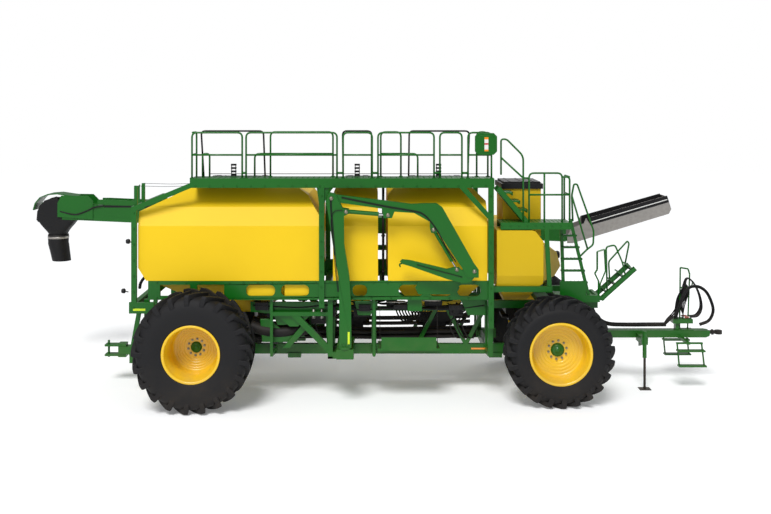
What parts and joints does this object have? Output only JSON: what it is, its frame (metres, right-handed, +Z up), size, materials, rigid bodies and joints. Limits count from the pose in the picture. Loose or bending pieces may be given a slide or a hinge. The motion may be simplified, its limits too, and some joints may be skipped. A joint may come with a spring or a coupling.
{
  "type": "grain cart",
  "caption": "Four-tank grain and seed cart on four wheels, with a steered tongue, side conveyor, folding bag crane, roof walkway and ladders.",
  "frame": {"origin": "on the ground, in the middle of the cart's outline seen from above", "axes": "+X towards the hitch at the front, +Y towards the cart's left side (the conveyor side), +Z up"},
  "size_m": [13.804, 4.3, 4.877],
  "materials": {
    "green_paint": "gloss enamel",
    "yellow_poly": "moulded polyethylene",
    "yellow_paint": "gloss enamel",
    "tyre": "ribbed rubber",
    "black_rubber": "matte",
    "black_plastic": "moulded",
    "black_steel": "satin",
    "galvanised": "dull galvanised",
    "chrome": "polished"
  },
  "bodies": {
    "chassis": {"main_frame": "green_paint", "front_axle": "green_paint", "tank_cradle": "green_paint", "tank_rear": "yellow_poly", "tank_second": "yellow_poly", "tank_third": "yellow_poly", "tank_front": "yellow_poly", "deck_frame": "green_paint", "outer_railing": "green_paint", "inner_guards": "green_paint", "control_box": "green_paint", "front_platform": "green_paint", "access_ladder": "green_paint", "lower_platform": "green_paint", "rear_hitch": "green_paint", "meter_rear": "black_plastic", "meter_second": "black_plastic", "meter_third": "black_plastic", "meter_front": "black_plastic", "fan_housing": "green_paint"},
    "wheel_rear_left": {"tyre_rear_left": "tyre", "rim_rear_left": "yellow_paint"},
    "wheel_rear_right": {"tyre_rear_right": "tyre", "rim_rear_right": "yellow_paint"},
    "wheel_front_left": {"tyre_front_left": "tyre", "rim_front_left": "yellow_paint"},
    "wheel_front_right": {"tyre_front_right": "tyre", "rim_front_right": "yellow_paint"},
    "knuckle_left": {"knuckle_left": "green_paint"},
    "knuckle_right": {"knuckle_right": "green_paint"},
    "tie_rod_left": {"tie_rod_left": "black_steel"},
    "tie_rod_right": {"tie_rod_right": "black_steel"},
    "tongue": {"tongue_beam": "green_paint", "hitch_clevis": "black_steel", "hose_rack": "green_paint", "tongue_steps": "green_paint", "hose_line": "black_rubber", "hose_loop": "black_rubber"},
    "jack_leg": {"jack_leg": "black_steel"},
    "crane_mast": {"crane_mast": "green_paint"},
    "crane_boom": {"crane_boom": "green_paint"},
    "crane_jib": {"crane_jib": "green_paint"},
    "boom_ram_barrel": {"boom_ram_barrel": "green_paint"},
    "boom_ram_rod": {"boom_ram_rod": "chrome"},
    "jib_ram_barrel": {"jib_ram_barrel": "green_paint"},
    "jib_ram_rod": {"jib_ram_rod": "chrome"},
    "conveyor_arm": {"conveyor_arm": "green_paint"},
    "conveyor_carrier": {"conveyor_carrier": "green_paint"},
    "conveyor": {"conveyor_tube": "green_paint", "conveyor_hood": "black_rubber"},
    "conveyor_hopper": {"conveyor_hopper": "galvanised"},
    "conveyor_spout": {"conveyor_spout": "black_rubber"},
    "lid_rear": {"lid_rear": "black_plastic"},
    "lid_second": {"lid_second": "black_plastic"},
    "lid_third": {"lid_third": "black_plastic"},
    "lid_front": {"lid_front": "black_plastic"},
    "folding_stair": {"folding_stair": "green_paint"},
    "service_step": {"service_step": "green_paint"},
    "fan_impeller": {"fan_impeller": "black_plastic"}
  },
  "joints": [
    {"name": "wheel_rear_left_spin", "type": "hinge", "parent": "chassis", "child": "wheel_rear_left", "pos_m": [-2.955, 1.75, 1.045], "axis": [0, 1, 0], "continuous": true},
    {"name": "wheel_rear_right_spin", "type": "hinge", "parent": "chassis", "child": "wheel_rear_right", "pos_m": [-2.955, -1.75, 1.045], "axis": [0, 1, 0], "continuous": true},
    {"name": "tongue_swing", "type": "hinge", "parent": "chassis", "child": "tongue", "pos_m": [3.8, 0, 0.995], "axis": [0, 0, 1], "range_deg": [-20, 20]},
    {"name": "knuckle_left_turn", "type": "hinge", "parent": "chassis", "child": "knuckle_left", "pos_m": [3.47, 0.95, 0.965], "axis": [0, 0, 1], "range_deg": [-20, 20]},
    {"name": "knuckle_right_turn", "type": "hinge", "parent": "chassis", "child": "knuckle_right", "pos_m": [3.47, -0.95, 0.965], "axis": [0, 0, 1], "range_deg": [-20, 20]},
    {"name": "tie_rod_left_turn", "type": "hinge", "parent": "tongue", "child": "tie_rod_left", "pos_m": [4.1, 0, 0.745], "axis": [0, 0, 1], "range_deg": [-20, 20]},
    {"name": "tie_rod_right_turn", "type": "hinge", "parent": "tongue", "child": "tie_rod_right", "pos_m": [4.1, 0, 0.79], "axis": [0, 0, 1], "range_deg": [-20, 20]},
    {"name": "wheel_front_left_spin", "type": "hinge", "parent": "knuckle_left", "child": "wheel_front_left", "pos_m": [3.47, 1.475, 0.965], "axis": [0, 1, 0], "continuous": true},
    {"name": "wheel_front_right_spin", "type": "hinge", "parent": "knuckle_right", "child": "wheel_front_right", "pos_m": [3.47, -1.475, 0.965], "axis": [0, 1, 0], "continuous": true},
    {"name": "jack_lift", "type": "slide", "parent": "tongue", "child": "jack_leg", "axis": [0, 0, 1], "range_m": [0, 0.35]},
    {"name": "crane_slew", "type": "hinge", "parent": "chassis", "child": "crane_mast", "pos_m": [-0.32, -1.585, 1.031], "axis": [0, 0, -1], "range_deg": [0, 95]},
    {"name": "boom_lift", "type": "hinge", "parent": "crane_mast", "child": "crane_boom", "pos_m": [-0.56, -1.585, 3.69], "axis": [0, -1, 0], "range_deg": [0, 45]},
    {"name": "jib_fold", "type": "hinge", "parent": "crane_boom", "child": "crane_jib", "pos_m": [1.965, -1.585, 2.4], "axis": [0, -1, 0], "range_deg": [0, 70]},
    {"name": "boom_ram_swing", "type": "hinge", "parent": "crane_mast", "child": "boom_ram_barrel", "pos_m": [-0.3, -1.585, 3.455], "axis": [0, -1, 0], "range_deg": [0, 53.5]},
    {"name": "boom_ram_extend", "type": "slide", "parent": "boom_ram_barrel", "child": "boom_ram_rod", "axis": [0.9965, 0, -0.0835], "range_m": [0, 0.245]},
    {"name": "jib_ram_swing", "type": "hinge", "parent": "crane_boom", "child": "jib_ram_barrel", "pos_m": [1.241, -1.585, 3.136], "axis": [0, -1, 0], "range_deg": [-3, 0]},
    {"name": "jib_ram_extend", "type": "slide", "parent": "jib_ram_barrel", "child": "jib_ram_rod", "axis": [0.5062, 0, -0.8624], "range_m": [0, 0.36]},
    {"name": "conveyor_swing", "type": "hinge", "parent": "chassis", "child": "conveyor_arm", "pos_m": [-0.3, 1.44, 2.39], "axis": [0, 0, 1], "range_deg": [0, 90]},
    {"name": "carrier_turn", "type": "hinge", "parent": "conveyor_arm", "child": "conveyor_carrier", "pos_m": [0.7, 1.44, 2.39], "axis": [0, 0, 1], "range_deg": [-90, 0]},
    {"name": "conveyor_tilt", "type": "hinge", "parent": "conveyor_carrier", "child": "conveyor", "pos_m": [0.7, 1.76, 2.745], "axis": [0, 1, 0], "range_deg": [0, 18.5]},
    {"name": "hopper_fold", "type": "hinge", "parent": "conveyor", "child": "conveyor_hopper", "pos_m": [4.26, 1.76, 2.555], "axis": [0, 1, 0], "range_deg": [0, 20]},
    {"name": "spout_turn", "type": "hinge", "parent": "conveyor", "child": "conveyor_spout", "pos_m": [-6.436, 1.76, 2.567], "axis": [0, 0, 1], "range_deg": [-90, 90]},
    {"name": "lid_rear_hinge", "type": "hinge", "parent": "chassis", "child": "lid_rear", "pos_m": [-2.4, 0.41, 3.925], "axis": [-1, 0, 0], "range_deg": [0, 75]},
    {"name": "lid_second_hinge", "type": "hinge", "parent": "chassis", "child": "lid_second", "pos_m": [-0.115, 0.41, 3.925], "axis": [-1, 0, 0], "range_deg": [0, 75]},
    {"name": "lid_third_hinge", "type": "hinge", "parent": "chassis", "child": "lid_third", "pos_m": [1.39, 0.41, 3.925], "axis": [-1, 0, 0], "range_deg": [0, 75]},
    {"name": "lid_front_hinge", "type": "hinge", "parent": "chassis", "child": "lid_front", "pos_m": [2.94, 0.255, 3.782], "axis": [-1, 0, 0], "range_deg": [0, 75]},
    {"name": "stair_fold", "type": "hinge", "parent": "chassis", "child": "folding_stair", "pos_m": [4.4, -0.61, 1.78], "axis": [0, 1, 0], "range_deg": [0, 72]},
    {"name": "step_fold", "type": "hinge", "parent": "chassis", "child": "service_step", "pos_m": [0.817, -0.82, 0.962], "axis": [-1, 0, 0], "range_deg": [0, 60]},
    {"name": "fan_spin", "type": "hinge", "parent": "chassis", "child": "fan_impeller", "pos_m": [-1.21, -0.33, 1.33], "axis": [0, 1, 0], "continuous": true}
  ],
  "couplings": [
    {"joint": "knuckle_left_turn", "follows": "tongue_swing", "ratio": 1},
    {"joint": "knuckle_right_turn", "follows": "tongue_swing", "ratio": 1},
    {"joint": "tie_rod_left_turn", "follows": "tongue_swing", "ratio": -1},
    {"joint": "tie_rod_right_turn", "follows": "tongue_swing", "ratio": -1},
    {"joint": "boom_ram_swing", "follows": "boom_lift", "ratio": 1.1755},
    {"joint": "boom_ram_extend", "follows": "boom_lift", "m_per_rad": 0.3069},
    {"joint": "jib_ram_swing", "follows": "jib_fold", "ratio": -0.03},
    {"joint": "jib_ram_extend", "follows": "jib_fold", "m_per_rad": 0.2913},
    {"joint": "carrier_turn", "follows": "conveyor_swing", "ratio": -1},
    {"joint": "conveyor_tilt", "follows": "conveyor_swing", "ratio": 0.2}
  ]
}
